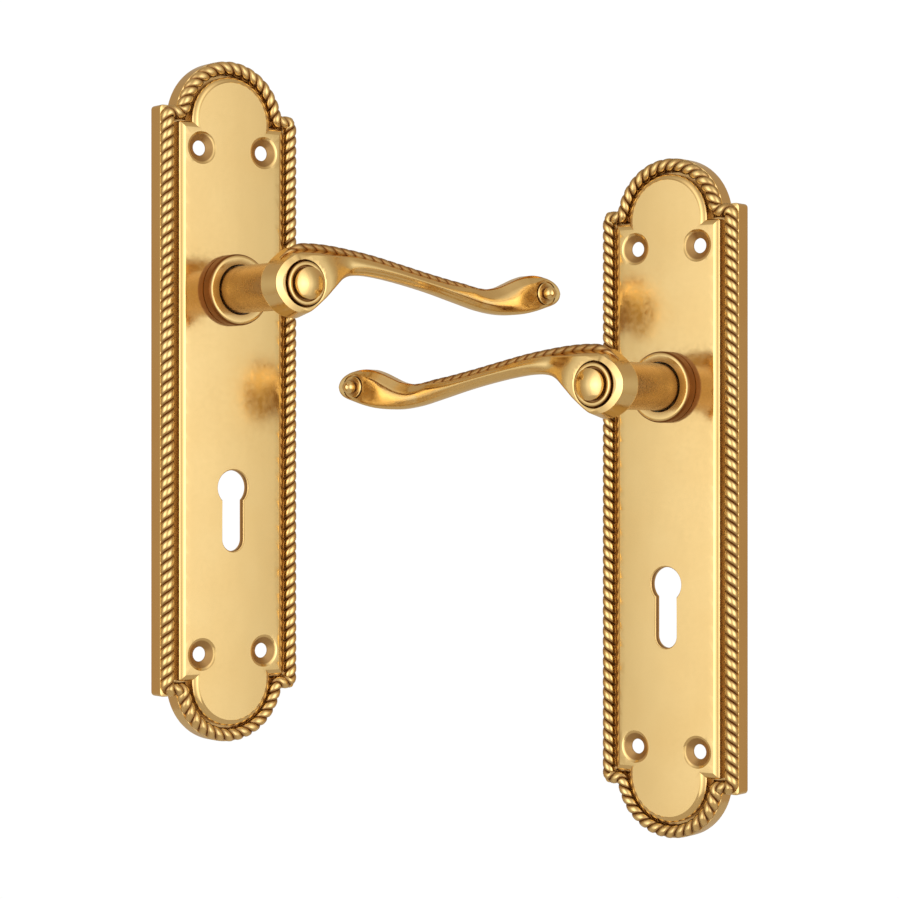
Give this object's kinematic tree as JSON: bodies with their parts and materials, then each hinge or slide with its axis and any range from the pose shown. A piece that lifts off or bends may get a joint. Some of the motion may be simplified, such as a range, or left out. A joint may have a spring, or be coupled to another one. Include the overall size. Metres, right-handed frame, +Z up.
{
  "type": "lever handle lockset",
  "caption": "Pair of polished brass scroll lever handles on long rope-edged backplates with keyholes, for a mortice lever lock.",
  "frame": {"origin": "middle of the bounding box of the pair as displayed", "axes": "+Z up along the plates' length, +X to the viewer's right, +Y away from the viewer; each plate is turned 37.85 degrees about Z towards the other"},
  "size_m": [0.1706, 0.0676, 0.225],
  "materials": {
    "polished_brass": "polished and lacquered",
    "nylon": "moulded nylon",
    "steel": "zinc plated",
    "spring_steel": "oiled spring steel"
  },
  "bodies": {
    "plates": {"left_backplate": "polished_brass", "left_bearing_collar": "polished_brass", "left_bearing_bush": "nylon", "left_return_spring": "spring_steel", "left_rest_stop_pin": "steel", "left_travel_stop_pin": "steel", "left_spring_anchor_pin": "steel", "right_backplate": "polished_brass", "right_bearing_collar": "polished_brass", "right_bearing_bush": "nylon", "right_return_spring": "spring_steel", "right_rest_stop_pin": "steel", "right_travel_stop_pin": "steel", "right_spring_anchor_pin": "steel"},
    "left_lever": {"left_lever_handle": "polished_brass", "left_lever_neck": "polished_brass", "left_lever_tip_button": "polished_brass", "left_drive_plate": "steel", "left_thrust_washer": "steel", "left_retaining_clip": "spring_steel"},
    "right_lever": {"right_lever_handle": "polished_brass", "right_lever_neck": "polished_brass", "right_lever_tip_button": "polished_brass", "right_drive_plate": "steel", "right_thrust_washer": "steel", "right_retaining_clip": "spring_steel"}
  },
  "joints": [
    {"name": "left_lever_turn", "type": "hinge", "parent": "plates", "child": "left_lever", "pos_m": [-0.06725, 0.00718, 0.0461], "axis": [-0.6136, 0.7896, 0], "range_deg": [0, 45], "stiffness_Nm_per_rad": 0.6, "springref_deg": -45.84, "deforming": ["left_return_spring"]},
    {"name": "right_lever_turn", "type": "hinge", "parent": "plates", "child": "right_lever", "pos_m": [0.06725, 0.00718, 0.0181], "axis": [-0.6136, -0.7896, 0], "range_deg": [0, 45], "stiffness_Nm_per_rad": 0.6, "springref_deg": -45.84, "deforming": ["right_return_spring"]}
  ],
  "couplings": [
    {"joint": "right_lever_turn", "follows": "left_lever_turn", "ratio": 1}
  ]
}
